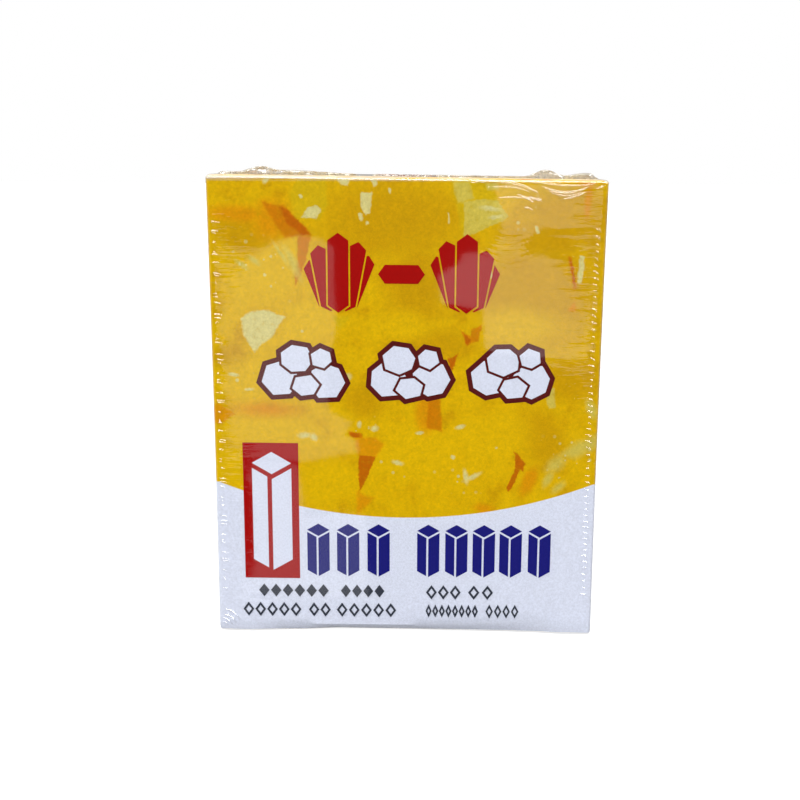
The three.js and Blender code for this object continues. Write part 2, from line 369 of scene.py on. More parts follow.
def covered(tree, place, facets, spots):
    """How much of a place several facets and spots cover together."""
    share = 0.0
    for soft, *corners in facets:
        share = maths(tree, "MAXIMUM", share, facet(tree, place, soft, corners))
    for shape in spots:
        share = maths(tree, "MAXIMUM", share, spot(tree, place, *shape))
    return share


def loose_lumps(tree, place):
    """The colour of the lumps where the picture runs on round the narrow sides."""
    bend = mottle(tree, place, 1 / 9, 5.0, output="Color")
    bent = add(tree, "VectorMath", {0: bend, 1: [LUMP_BEND] * 3, 2: place},
               operation="MULTIPLY_ADD").outputs[0]
    lumps = add(tree, "TexVoronoi", {"Vector": bent, "Scale": 1 / LUMP_SIZE, "Smoothness": 0.25},
                feature="SMOOTH_F1")
    gaps = add(tree, "TexVoronoi", {"Vector": bent, "Scale": 1 / LUMP_GAP_PITCH},
               feature="DISTANCE_TO_EDGE")
    tone = add(tree, "SeparateColor", {0: lumps.outputs["Color"]})
    colour = overprint(tree, fade(tree, tone.outputs[0], 0.1, 0.9), GOLD_DEEP, GOLD_BRIGHT)
    gap = fade(tree, gaps.outputs["Distance"], 0.06, 0.0)
    here_and_there = fade(tree, mottle(tree, place, 1 / 16, 1.0), 0.5, 0.62)
    colour = overprint(tree, times(tree, gap, here_and_there), colour, AMBER)
    glint = times(tree, fade(tree, tone.outputs[1], 0.84, 0.95), 0.75)
    return overprint(tree, glint, colour, CREAM)


def wandering(tree, artwork, place, size, reach):
    """A place moved to and fro on the artwork, so that the edges drawn there are uneven."""
    drift = mottle(tree, artwork, 1 / size, 2.0, output="Color")
    drift = add(tree, "VectorMath", {0: drift, 1: (-0.5, 0, -0.5)}).outputs[0]
    return add(tree, "VectorMath", {0: drift, 1: (reach, 0, reach), 2: place},
               operation="MULTIPLY_ADD").outputs[0]


def lump_picture(tree, place):
    """The colour of the printed lumps at a place in millimetres."""
    x, y, z = taken_apart(tree, place)
    facing = times(tree, maths(tree, "SIGN", y), -1.0)
    artwork = add(tree, "CombineXYZ", {"X": times(tree, x, facing), "Z": z}).outputs[0]
    bent = wandering(tree, artwork, artwork, WANDER_SIZE, WANDER)
    bent = wandering(tree, artwork, bent, FRAY_SIZE, FRAY)
    bent = add(tree, "VectorMath", {0: bent, 1: (0, 1, 0)}).outputs[0]

    cloud = mottle(tree, artwork, 1 / 7, 6.0, 0.62)
    wisp = mottle(tree, artwork, 1 / 1.8, 5.0, 0.7)
    colour = overprint(tree, fade(tree, cloud, 0.3, 0.7), GOLD, GOLD_BRIGHT)
    colour = overprint(tree, fade(tree, cloud, 0.47, 0.28), colour, GOLD_DEEP)
    patchy = fade(tree, wisp, 0.1, 0.5)
    for ink_colour, cover, facets, spots in PICTURE:
        share = times(tree, covered(tree, bent, facets, spots), cover)
        colour = overprint(tree, times(tree, share, patchy), colour, ink_colour)
    shimmer = maths(tree, "MULTIPLY_ADD", wisp, 0.5, 0.75)
    colour = add(tree, "HueSaturation", {"Color": colour, "Value": shimmer}).outputs["Color"]
    speckled = covered(tree, bent, (), SPECKLED)
    fleck = add(tree, "TexVoronoi", {"Vector": artwork, "Scale": 1 / FLECK_PITCH})
    size = add(tree, "SeparateColor", {0: fleck.outputs["Color"]}).outputs[0]
    edge = times(tree, maths(tree, "POWER", size, 3.0), FLECK_RADIUS)
    flecks = maths(tree, "SUBTRACT", edge, fleck.outputs["Distance"])
    flecks = times(tree, speckled, fade(tree, flecks, 0.0, FLECK_SOFTNESS))
    colour = overprint(tree, times(tree, flecks, 0.8), colour, CREAM)
    half_depth = DEPTH / MM / 2
    on_wide = fade(tree, maths(tree, "ABSOLUTE", y), half_depth - 0.7, half_depth - 0.45)
    return overprint(tree, on_wide, loose_lumps(tree, place), colour)


def varnished(tree, place, colour, depth, roughness):
    """Gives a material its print: ink that the press's grain shades, under a satin varnish."""
    grain = mottle(tree, place, GRAIN_PER_MM, 3.0)
    value = maths(tree, "MULTIPLY_ADD", grain, depth, 1 - depth / 2)
    shade = add(tree, "HueSaturation", {"Color": colour, "Value": value})
    finish = add(tree, "BsdfPrincipled", {
        "Base Color": shade.outputs["Color"],
        "Roughness": maths(tree, "MULTIPLY_ADD", grain, *roughness),
        "Specular IOR Level": 0.05,
    })
    finish_surface(tree, finish.outputs["BSDF"])
    return finish


def printed_board():
    """White board printed with the lumps and the white field below them."""
    material, tree = new_material("printed_board")
    place = in_millimetres(tree)
    x, _, z = taken_apart(tree, place)
    reach = maths(tree, "MINIMUM", maths(tree, "ABSOLUTE", x), FIELD_ARC_REACH)
    squared = maths(tree, "SUBTRACT", FIELD_ARC_RADIUS**2, times(tree, reach, reach))
    arc = maths(tree, "SUBTRACT", FIELD_TOP_Z + FIELD_ARC_RADIUS, maths(tree, "SQRT", squared))
    above = fade(tree, maths(tree, "SUBTRACT", z, arc), -0.08, 0.08)
    colour = overprint(tree, above, WHITE_FIELD, lump_picture(tree, place))
    fibre = mottle(tree, place, 0.9, 5.0)
    bump = add(tree, "Bump", {"Height": fibre, "Strength": 0.08, "Distance": 0.1 * MM})
    finish = varnished(tree, place, colour, 0.4, (0.1, 0.42))
    tree.links.new(bump.outputs["Normal"], finish.inputs["Normal"])
    return material


board_low, board_high = pack_faces(BOARD_INSET)
board_rows = [
    rows_between(board_low[0], board_high[0], FOLD_RADIUS, BOARD_GRID,
                 [side * (FLAP_SIDE_EDGE + cut) for side in (-1, 1) for cut in (0, CUT_WIDTH)]),
    rows_between(board_low[1], board_high[1], FOLD_RADIUS, BOARD_GRID,
                 [FLAP_FRONT_EDGE, FLAP_FRONT_EDGE - CUT_WIDTH, LAP_EDGE, LAP_EDGE + CUT_WIDTH]),
    rows_between(board_low[2], board_high[2], FOLD_RADIUS, BOARD_GRID),
]
points, faces = box_grid(board_rows)
off_flap = (points[:, 1] < FLAP_FRONT_EDGE - CUT_WIDTH / 2)
off_flap |= np.abs(points[:, 0]) > FLAP_SIDE_EDGE + CUT_WIDTH / 2
off_lap = points[:, 1] > LAP_EDGE + CUT_WIDTH / 2
points = round_edges(points, board_low, board_high, FOLD_RADIUS)
ends = points[:, 2]
ends[off_flap & (ends > board_high[2] - FOLD_RADIUS)] -= BOARD_THICKNESS
ends[off_flap & (ends < board_low[2] + FOLD_RADIUS)] += BOARD_THICKNESS
sides = points[:, 0]
sides[off_lap & (sides < board_low[0] + FOLD_RADIUS)] += BOARD_THICKNESS
board = new_piece("carton_board", fill_out(points), faces, printed_board())
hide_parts("carton")


# The printed motifs: shapes of solid ink over the picture, with crystals and rows of lozenges
# in place of any lettering. Each ink is a thin skin that follows the board round the pack.
INK_LAYER = 0.03 * MM
INK_THICKNESS = 0.9
INK_GRID = 3 * MM
PANELS = {
    "front": ((0, -DEPTH / 2, 0), (1, 0, 0), (0, 0, 1)),
    "back": ((0, DEPTH / 2, 0), (-1, 0, 0), (0, 0, 1)),
    "left": ((-WIDTH / 2, 0, 0), (0, -1, 0), (0, 0, 1)),
    "right": ((WIDTH / 2, 0, 0), (0, 1, 0), (0, 0, 1)),
    "top": ((0, 0, HEIGHT), (1, 0, 0), (0, 1, 0)),
}


def on_panel(panel, flat, lift):
    """Where artwork drawn flat, across and up from a panel's middle line, lies on the pack."""
    origin, right, up = (np.array(vector) for vector in PANELS[panel])
    points = origin + flat[:, :1] * right + flat[:, 1:] * up
    return fill_out(points) + np.cross(right, up) * (lift - BOARD_INSET)


def grown(outline, margin):
    """A convex outline pushed out by an even margin."""
    points = np.array(outline)
    before, after = np.roll(points, 1, axis=0), np.roll(points, -1, axis=0)
    into, out_of = points - before, after - points
    into /= np.linalg.norm(into, axis=1)[:, None]
    out_of /= np.linalg.norm(out_of, axis=1)[:, None]
    normal = np.column_stack([into[:, 1] + out_of[:, 1], -into[:, 0] - out_of[:, 0]])
    stretch = margin / (1 + np.sum(into * out_of, axis=1))
    return [tuple(point) for point in points + normal * stretch[:, None]]


def overlapped(shapes, gap=0, cuts=()):
    """Triangles of ink for shapes that lie one over another, each with a bare gap round it."""
    margins = [grown(shape, gap) if gap else shape for shape in shapes]
    outlines = [*shapes, *margins, *cuts]
    corners = [Vector(point) for outline in outlines for point in outline]
    starts = np.cumsum([0] + [len(outline) for outline in outlines])
    rings = [list(range(start, start + len(outline))) for start, outline in zip(starts, outlines)]
    every = np.array([point for outline in shapes for point in outline])
    for x in np.arange(every[:, 0].min(), every[:, 0].max(), INK_GRID / MM):
        for z in np.arange(every[:, 1].min(), every[:, 1].max(), INK_GRID / MM):
            corners.append(Vector((x, z)))
    made, _, triangles, _, _, parents = delaunay_2d_cdt(corners, [], rings, 1, 1e-5)
    count = len(shapes)
    kept = []
    for triangle, parent in zip(triangles, parents):
        top = max((ring - count for ring in parent if count <= ring < 2 * count), default=-1)
        if top in parent and max(parent) < 2 * count:
            kept.append(triangle)
    used = sorted({corner for triangle in kept for corner in triangle})
    renumber = {corner: number for number, corner in enumerate(used)}
    flat = np.array([made[corner] for corner in used]) * MM
    return flat, [[renumber[corner] for corner in triangle] for triangle in kept]


def inked(name, colour):
    """A solid ink, evener and a little glossier than the picture."""
    material, tree = new_material(name)
    varnished(tree, in_millimetres(tree), colour, 0.3, (0.12, 0.36))
    return material


def print_ink(name, colour, artwork, layer=1):
    """One ink on every panel that carries it, as a thin closed skin in a layer of the print."""
    points, faces = [], []
    for panel, (flat, triangles) in artwork:
        start, count = len(points), len(flat)
        for height in (layer, layer - INK_THICKNESS):
            points += list(on_panel(panel, flat, height * INK_LAYER))
        edges = {(a, b) for triangle in triangles for a, b in zip(triangle, triangle[1:] + triangle[:1])}
        rims = [(a, a + count, b + count, b) for a, b in edges if (b, a) not in edges]
        unders = [[corner + count for corner in reversed(triangle)] for triangle in triangles]
        faces += [[start + corner for corner in face] for face in triangles + rims + unders]
    new_piece(name, points, faces, inked(name, colour))


def turned(outline, x, z, turn):
    """An outline drawn about its own foot, turned clockwise and set down at (x, z)."""
    c, s = math.cos(math.radians(turn)), math.sin(math.radians(turn))
    return [(x + u * c + v * s, z - u * s + v * c) for u, v in outline]


def crystal(x, z, width, height, turn=0):
    """A tall six-sided crystal, pointed at both ends, with its foot at (x, z)."""
    half, end = width / 2, 0.36 * width
    outline = [(0, 0), (half, end), (half, height - end), (0, height), (-half, height - end), (-half, end)]
    return turned(outline, x, z, turn)


def prism(x, z, width, height):
    """The two sides and the top facet of an upright block of sugar."""
    half, rise = width / 2, 0.29 * width
    middle = (x, z + height - 2 * rise)
    left, right = (x - half, z + height - rise), (x + half, z + height - rise)
    return [
        [(x, z), middle, left, (x - half, z + rise)],
        [(x, z), (x + half, z + rise), right, middle],
        [middle, right, (x, z + height), left],
    ]


def lump(x, z, width, height, turn, sides=7):
    """A rough sugar lump: an outline whose corners lie at uneven distances."""
    outline = []
    for corner in range(sides):
        angle = 2 * math.pi * (corner + 0.5) / sides + turn
        reach = 1 - 0.1 * (1 + math.sin(5.3 * corner + 7 * turn))
        outline.append((x + width / 2 * reach * math.cos(angle), z + height / 2 * reach * math.sin(angle)))
    return outline


def bar(low_x, low_z, high_x, high_z):
    """An upright rectangle of ink."""
    return [(low_x, low_z), (high_x, low_z), (high_x, high_z), (low_x, high_z)]


def lozenges(first_x, z, count, pitch, width, height):
    """A row of upright lozenges."""
    centres = [first_x + pitch * (number + 0.5) for number in range(count)]
    across, up = width / 2, height / 2
    return [[(x, z - up), (x + across, z), (x, z + up), (x - across, z)] for x in centres]


# A cluster's crystals, the middle one last: place across and up, width, and turn in degrees.
CLUSTER_FAN = ((-2.6, 1, 4.6, -22), (2.6, 1, 4.6, 22), (-2, 0.4, 5, -11), (2, 0.4, 5, 11), (0, 0, 5.8, 0))


def crystal_cluster(x, z, size, heights=(14.5, 16, 18.5, 19.5, 22)):
    """Five crystals that fan out from one foot, the middle one on top."""
    return [crystal(x + u * size, z + v * size, width * size, height * size, turn)
            for (u, v, width, turn), height in zip(CLUSTER_FAN, heights)]


def stamp(art, panel, shapes, gap=0, cuts=()):
    """Adds shapes that lie one over another to an ink's artwork."""
    art.append((panel, overlapped(shapes, gap, cuts)))


red_art, brown_art, white_art, navy_art, grey_art = [], [], [], [], []
for panel in ("front", "back"):
    clusters = crystal_cluster(-18.9, 95.8, 1) + crystal_cluster(16.8, 95.8, 1, (16, 13.5, 20, 17.5, 22))
    stamp(red_art, panel, [*clusters, crystal(-7.8, 106.6, 5.2, 13, 90)], 0.45)
    stamp(red_art, panel, [bar(-46.9, 17.3, -30.8, 58.3)])
    stamp(white_art, panel, prism(-38.6, 19.8, 11.4, 35.8), 1.3)
    for x, turn in ((-28.8, 0.2), (0.9, 1.3), (29.8, 2.3)):
        stones = [lump(x - 6.2, 77.2, 12, 11.5, turn), lump(x + 6.2, 76.8, 11.8, 11.5, turn + 1),
                  lump(x - 2.4, 82.6, 10.5, 9, turn + 2), lump(x + 5.2, 83, 7, 6.4, turn + 3.1, 6),
                  lump(x + 0.4, 74.8, 8.8, 7, turn + 0.5, 6)]
        stamp(white_art, panel, stones, 0.7)
        stamp(brown_art, panel, [grown(stone, 1.4) for stone in stones])
    for x in (-25.3, -16.6, -7.7, 6.8, 15, 23, 30.8, 39.2):
        stamp(navy_art, panel, prism(x, 18, 6.5, 16.2), 0.55)
    bold = lozenges(-43.2, 13.5, 6, 3.5, 3.1, 4) + lozenges(-19, 13.5, 4, 3.3, 2.9, 4)
    stamp(grey_art, panel, bold)
    for line, *row in (
            (0.6, -47.9, 7.5, 5, 3.5, 3.2, 4.5), (0.6, -28.5, 7.5, 2, 3.4, 3.1, 4.5),
            (0.6, -20.3, 7.5, 5, 3.6, 3.2, 4.5), (0.6, 6.1, 13.3, 3, 3.5, 3.2, 4.5),
            (0.6, 18.3, 13.3, 2, 4, 3.3, 4.5), (0.5, 6.1, 7.4, 8, 1.95, 1.8, 4.2),
            (0.5, 23.7, 7.4, 4, 2.5, 2.2, 4.4)):
        shapes = lozenges(*row)
        stamp(grey_art, panel, shapes, cuts=[grown(shape, -line) for shape in shapes])

# The narrow sides: a white table of grey rules on one, a cluster on a white label on the other.
stamp(white_art, "left", [bar(-15, 58, 15, 118)])
stamp(navy_art, "left", [bar(-15.5, 57.5, 15.5, 118.5)], cuts=[bar(-15, 58, 15, 118)])
RULE_LENGTHS = (22, 14, 18, 9, 16, 20, 12, 17, 10, 19, 13, 21, 15)
rules = [bar(-13, z, -13 + length, z + 0.9) for z, length in zip(range(62, 112, 4), RULE_LENGTHS)]
rules += [bar(9.5, z, 13, z + 0.9) for z in range(66, 112, 8)] + [bar(-13, 113.2, 6, 115.6)]
stamp(grey_art, "left", rules)
cluster = crystal_cluster(0, 92, 0.9)
stamp(white_art, "right", [bar(-15, 62, 15, 118)], cuts=cluster)
stamp(red_art, "right", cluster, 0.5)
stamp(grey_art, "right", [bar(-12, z, 12 - 5 * (z % 3), z + 0.9) for z in range(66, 89, 4)])
for panel in ("left", "right"):
    for x in (-9, 0, 9):
        stamp(navy_art, panel, prism(x, 17.6, 6.5, 16.2), 0.55)
    stamp(grey_art, panel, lozenges(-12, 10, 8, 3, 2.2, 3.2))
stamp(red_art, "top", [crystal(-9, 0, 5.2, 18, 90)])

print_ink("red_ink", ink(168, 9, 6), red_art, layer=2)
print_ink("brown_ink", ink(92, 26, 24), brown_art)
print_ink("white_ink", WHITE_FIELD, white_art, layer=3)
print_ink("navy_ink", ink(30, 30, 122), navy_art)
print_ink("grey_ink", ink(62, 66, 78), grey_art, layer=4)


# The film: clear shrink film drawn tight round the carton, glossy, with folds and gathers where
# it shrank. It passes nearly all light and mostly only its reflections show; cream milky streaks
# along its top front and back edges are partly gathered film and partly a painted highlight.
FILM_RADIUS = 1.2 * MM
FILM_ROW = 0.53 * MM
FILM_COLUMN = 1.1 * MM
FILM_DEPTH_ROW = 1.6 * MM
EDGE_COLUMNS = 9 * MM

WAVE_LIFT = 0.05 * MM
# Slack ripples run across both upright edges, from this far out on the panel.
EDGE_RIPPLE_LIFT, EDGE_RIPPLES_FROM = 0.07 * MM, 36 * MM
# A patch of sagging ripples near the upper right corner: its middle, half size, pitch and sag.
RIPPLES_X, RIPPLES_Z = 28.5 * MM, 112.5 * MM
RIPPLES_HALF_X, RIPPLES_HALF_Z = 10 * MM, 8 * MM
RIPPLE_LIFT, RIPPLE_PITCH = 0.06 * MM, 1.6 * MM
RIPPLE_SAG = 0.05 / MM
TIGHT_FOOT = 3 * MM
# How much the film mirrors when seen square on, and how much more when seen from the side.
FILM_MIRROR, FILM_SLANT_MIRROR = 0.068, 0.9
GATHER_REACH = 1.4
# Cream milk of the film along the top edges: partly gathered film, partly a painted highlight.
MILKY_FILM_AND_HIGHLIGHT = (0.8, 0.77, 0.68, 1)


def ridge(distance):
    """The rounded cross section of a fold: 1 on its crest, 0 a whole half thickness away."""
    return np.cos(np.clip(np.abs(distance), 0, 1) * math.pi / 2) ** 2


def film_noise(points, size, seed):
    """Smooth noise from 0 to 1 at each point, with bumps of the given size."""
    stretch = 1 / np.array(size)
    spots = points * stretch + (seed, 0, 0)
    return np.array([1 + noise.noise(Vector(spot)) for spot in spots]) / 2


def film_relief(points, facing):
    """How far the film stands out at each point: soft waves, and ripples by the upright edges."""
    lift = WAVE_LIFT * film_noise(points, (16 * MM, 16 * MM, 12 * MM), 3.1)
    by_edge = np.clip((np.abs(points[:, 0]) - EDGE_RIPPLES_FROM) / (18 * MM), 0, 1) * facing
    lift += EDGE_RIPPLE_LIFT * by_edge * film_noise(points, (10 * MM, 10 * MM, 1.8 * MM), 7.7)
    x, z = points[:, 0] * -np.sign(points[:, 1]) - RIPPLES_X, points[:, 2] - RIPPLES_Z
    sagging = z - RIPPLE_SAG * x**2
    ripples = ridge(z / RIPPLES_HALF_Z) * ridge(x / RIPPLES_HALF_X) * facing
    lift += RIPPLE_LIFT * ripples * (1 + np.sin(2 * math.pi * sagging / RIPPLE_PITCH))
    return lift * np.clip(points[:, 2] / TIGHT_FOOT, 0, 1)


def drawn_out(tree, place, long, high):
    """Noise in patches of a given length and height, drawn out along the panel."""
    squeezed = add(tree, "Mapping", {"Vector": place, "Scale": (1 / long[0], 1 / long[1], 1 / high)})
    return mottle(tree, squeezed.outputs[0], 1.0, 2.0)


def clear_film():
    """Film that is clear but for its gloss, with cream milky streaks along the top front and back edges:
    partly gathered film, partly a painted highlight.
    """
    material, tree = new_material("clear_film")
    place = in_millimetres(tree)
    fine = drawn_out(tree, place, (5, 5), 0.8)
    x, y, z = taken_apart(tree, place)
    by_edge = fade(tree, maths(tree, "ABSOLUTE", x), 40, 54)
    height = times(tree, times(tree, fine, by_edge), 0.05)
    bump = add(tree, "Bump", {"Height": height, "Strength": 1.0, "Distance": MM}).outputs["Normal"]
    slant = add(tree, "LayerWeight", {"Blend": 0.5, "Normal": bump}).outputs["Facing"]
    share = maths(tree, "MULTIPLY_ADD", maths(tree, "POWER", slant, 5.0), FILM_SLANT_MIRROR, FILM_MIRROR)
    gloss = add(tree, "BsdfGlossy", {"Color": (1, 1, 1, 1), "Roughness": 0.04, "Normal": bump}).outputs[0]
    clear = add(tree, "BsdfTransparent").outputs[0]
    # Cream milky streaks along the top front and back edges: partly gathered film, partly a painted highlight
    # band.
    near_top = maths(tree, "SUBTRACT", z, HEIGHT / MM - GATHER_REACH)
    near_front = maths(tree, "SUBTRACT", maths(tree, "ABSOLUTE", y), DEPTH / MM / 2 - GATHER_REACH)
    gathers = drawn_out(tree, place, (14, 2), 0.5)
    fold = fade(tree, maths(tree, "MINIMUM", near_top, near_front), 0.0, GATHER_REACH)
    cloudy = times(tree, fold, times(tree, fade(tree, gathers, 0.2, 0.6), 0.75))
    milky = add(tree, "BsdfDiffuse", {"Color": MILKY_FILM_AND_HIGHLIGHT}).outputs[0]
    finish_surface(tree, blend(tree, cloudy, blend(tree, share, clear, gloss), milky))
    return material


film_low, film_high = pack_faces(0)
close = np.arange(0.6, EDGE_COLUMNS / MM, 0.6) * MM
film_rows = [
    rows_between(film_low[0], film_high[0], FILM_RADIUS, FILM_COLUMN,
                 np.concatenate([film_low[0] + FILM_RADIUS + close, film_high[0] - FILM_RADIUS - close])),
    rows_between(film_low[1], film_high[1], FILM_RADIUS, FILM_DEPTH_ROW),
    rows_between(film_low[2], film_high[2], FILM_RADIUS, FILM_ROW),
]
points, faces = box_grid(film_rows)
rounded = round_edges(points, film_low, film_high, FILM_RADIUS)
core = np.clip(points, film_low + FILM_RADIUS, film_high - FILM_RADIUS)
outward = (rounded - core) / FILM_RADIUS
facing = np.abs(outward[:, 1])
film_points = fill_out(rounded) + outward * film_relief(rounded, facing)[:, None]
film_material = clear_film()
film = new_piece("shrink_film", film_points, faces, film_material)
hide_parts("film")


# The film's pleats: where the film had to give, it lies in small raised folds. Short ones line
# the upright edges, long curved ones run in from the upper right corner, and a few fan out at
# the lower left one.
PLEAT_STEEPNESS = 0.75
PLEAT_LIFT = 0.1 * MM
PLEAT_STEP = 0.3
PLEAT_STRIPS = 8
EDGE_PLEATS, EDGE_PLEAT_PITCH = 57, 1.9
RIGHT_PLEATS_X, RIGHT_PLEATS_FOOT, RIGHT_PLEAT_HALF = 52.4, 13, 0.27
LEFT_PLEATS_X, LEFT_PLEATS_FOOT, LEFT_PLEAT_HALF = -54, 14, 0.24
# Each pleat's start, middle and end on the panel, across and up, and half its thickness, in mm.
PLEATS = [
    ((17, 131.6), (27.5, 131.8), (36, 129), 0.55), ((22, 130.5), (28.5, 130.6), (33.5, 129.4), 0.25),
    ((31.1, 132), (34.9, 132.1), (38.7, 131.4), 0.45), ((29.6, 129), (32.3, 127.9), (34.6, 126.6), 0.28),
    ((25, 127.7), (30.8, 127.9), (36.9, 127), 0.28), ((32.7, 128.1), (35, 127.7), (36.9, 127.2), 0.4),
    ((32, 125.2), (33.2, 125.1), (34.5, 124.5), 0.25), ((36.8, 131.2), (43, 129.3), (49.7, 131.2), 0.5),
    ((38.2, 130), (43.2, 128.5), (47.6, 129.9), 0.22), ((41.8, 127.6), (46, 128.4), (49, 130), 0.3),
    ((36.6, 132.3), (43, 131.3), (51.4, 132), 0.35), ((51.2, 130.4), (52.8, 131.1), (53.7, 131.8), 0.22),
    ((-53.8, 6.8), (-51.4, 6.8), (-48.4, 3.6), 0.42), ((-53.7, 5.6), (-51.8, 5.1), (-49.6, 2.8), 0.36),
    ((-53.7, 4.6), (-52.2, 3.8), (-50.8, 1.9), 0.3), ((-53.8, 3.6), (-52.9, 2.8), (-52.2, 1.6), 0.25),
]
for number in range(EDGE_PLEATS):
    up = EDGE_PLEAT_PITCH * number
    # On the right they slope down and out, more so higher up.
    z = RIGHT_PLEATS_FOOT + up + 0.6 * math.sin(12.9 * number)
    reach = 0.8 + 0.25 * math.sin(5.3 * number)
    drop = reach * (0.15 + 0.55 * z / 120)
    start, end = (RIGHT_PLEATS_X - reach, z + drop), (RIGHT_PLEATS_X + reach, z - drop)
    PLEATS.append((start, (RIGHT_PLEATS_X + 0.1, z + 0.12), end, RIGHT_PLEAT_HALF))
    # On the left they run in level from the edge.
    z = LEFT_PLEATS_FOOT + up + 0.8 * math.sin(8.3 * number)
    reach = 1.9 + 0.8 * math.sin(5.3 * number)
    start, end = (LEFT_PLEATS_X, z), (LEFT_PLEATS_X + reach, z - 0.1)
    PLEATS.append((start, (LEFT_PLEATS_X + 0.8, z + 0.12), end, LEFT_PLEAT_HALF))


def pleat(start, middle, end, half):
    """A raised fold's points, on a strip that bends past its middle, and its faces."""
    start, middle, end = (Vector(place) for place in (start, middle, end))
    pull = 2 * middle - (start + end) / 2
    steps = max(6, round((end - start).length / PLEAT_STEP))
    points = [(*start, 0)]
    for step in range(1, steps):
        t = step / steps
        place = start * (1 - t) ** 2 + pull * 2 * t * (1 - t) + end * t**2
        heading = ((pull - start) * (1 - t) + (end - pull) * t).normalized()
        wide = half * math.sin(math.pi * t) ** 0.6
        over = np.linspace(-1, 1, PLEAT_STRIPS + 1)
        ring = [(share, wide * PLEAT_STEEPNESS * ridge(share)) for share in over]
        ring += [(share, 0) for share in over[-2:0:-1]]
        points += [(place.x - heading.y * wide * u, place.y + heading.x * wide * u, rise) for u, rise in ring]
    points.append((*end, 0))
    size, last = 2 * PLEAT_STRIPS, len(points) - 1
    faces = []
    for side in range(size):
        after = (side + 1) % size
        faces.append([0, 1 + after, 1 + side])
        faces.append([last, last - size + side, last - size + after])
        for ring_start in range(1, last - size, size):
            corners = (ring_start + side, ring_start + after)
            faces.append([corners[0], corners[1], corners[1] + size, corners[0] + size])
    return points, faces


points, faces = [], []
for panel in ("front", "back"):
    for shape in PLEATS:
        local, local_faces = pleat(*shape)
        faces += [[len(points) + corner for corner in face] for face in local_faces]
        local = np.array(local) * MM
        origin, right, up = (np.array(vector) for vector in PANELS[panel])
        flat = origin + local[:, :1] * right + local[:, 1:2] * up
        points += list(fill_out(flat) + np.cross(right, up) * (PLEAT_LIFT + local[:, 2:]))
new_piece("film_pleats", points, faces, film_material)


# The film's seam: a fin of welded film that runs up one side, across the top and down the
# other. It stands up in crumpled ears where the spare film at the corners was drawn together.
SEAM_FOOT_Z = 6 * MM
SEAM_RUN_OUT = 8 * MM
SEAM_SIDE_REACH = 0.9 * MM
SEAM_TOP_REACH = 0.65 * MM
SEAM_THICKNESS = 0.12 * MM
SEAM_ROOT = 0.3 * MM
SEAM_STEP = 0.3 * MM
SEAM_ROWS = 6
# How far the fin's edge is thrown about, as a share of its reach, and how many bends a metre.
CRUMPLE, CRUMPLE_BENDS = 0.5, 420
FINE_CRUMPLE, FINE_CRUMPLE_BENDS = 0.12, 1300
# The weld's grey milk: partly the film's own milkiness, partly painted shade of the stacked, crumpled film.
WELD_MILK_AND_SHADE = (0.46, 0.42, 0.33, 1)
# Each ear's place across the top, half width and height, in millimetres.
EARS = ((-43, 7, 1.3), (-34, 20, 0.75), (-12.5, 4, -0.55), (40, 6.5, 1.9), (51, 9, 1.0))


def top_reach(x):
    """How far the fin stands up at a place along the top, where it joins the side fins at the ends."""
    to_corner = min(1, (WIDTH / 2 - abs(x)) / SEAM_RUN_OUT)
    reach = SEAM_TOP_REACH + (SEAM_SIDE_REACH - SEAM_TOP_REACH) * math.cos(to_corner * math.pi / 2) ** 2
    for ear_x, ear_half, ear_height in EARS:
        away = min(1, abs(x / MM - ear_x) / ear_half)
        reach += ear_height * MM * math.cos(away * math.pi / 2) ** 2
    return reach


def welded_film():
    """Film milky and creased from the weld, that still lets some light through. Its grey milk is partly
    painted shade, standing in for the dark reflections of the stacked film.
    """
    material, tree = new_material("welded_film")
    crease = mottle(tree, in_millimetres(tree), 0.55, 3.0)
    bump = add(tree, "Bump", {"Height": crease, "Strength": 1.0, "Distance": 0.3 * MM}).outputs["Normal"]
    slant = add(tree, "LayerWeight", {"Blend": 0.5, "Normal": bump}).outputs["Facing"]
    shine = maths(tree, "MULTIPLY_ADD", maths(tree, "POWER", slant, 5.0), 0.5, 0.06)
    gloss = add(tree, "BsdfGlossy", {"Color": (1, 1, 1, 1), "Roughness": 0.15, "Normal": bump}).outputs[0]
    milky = add(tree, "BsdfDiffuse", {"Color": WELD_MILK_AND_SHADE}).outputs[0]
    clear = add(tree, "BsdfTransparent").outputs[0]
    # How much grey milk shows, more on the crease crests: partly milkiness, partly painted shade.
    cloudy = maths(tree, "MULTIPLY_ADD", fade(tree, crease, 0.35, 0.65), 0.45, 0.4)
    finish_surface(tree, blend(tree, shine, blend(tree, cloudy, clear, milky), gloss))
    return material


half_width, top = WIDTH / 2, HEIGHT
path = []
for z in np.arange(SEAM_FOOT_Z, top - FILM_RADIUS, SEAM_STEP):
    run_out = min(1, (z - SEAM_FOOT_Z) / SEAM_RUN_OUT)
    path.append(((-half_width, z), (-1, 0), SEAM_SIDE_REACH * run_out))
for corner_turn in np.linspace(0, math.pi / 2, 8)[1:-1]:
    out = (-math.cos(corner_turn), math.sin(corner_turn))
    bent_over = (-half_width + FILM_RADIUS * (1 + out[0]), top - FILM_RADIUS * (1 - out[1]))
    path.append((bent_over, out, SEAM_SIDE_REACH))
for x in np.arange(-half_width + FILM_RADIUS, half_width - FILM_RADIUS, SEAM_STEP):
    path.append(((x, top), (0, 1), top_reach(x)))
left_part = [step for step in path if step[1] != (0, 1)]
path += [((-x, z), (-out_x, out_z), reach) for (x, z), (out_x, out_z), reach in reversed(left_part)]
points, faces = [], []
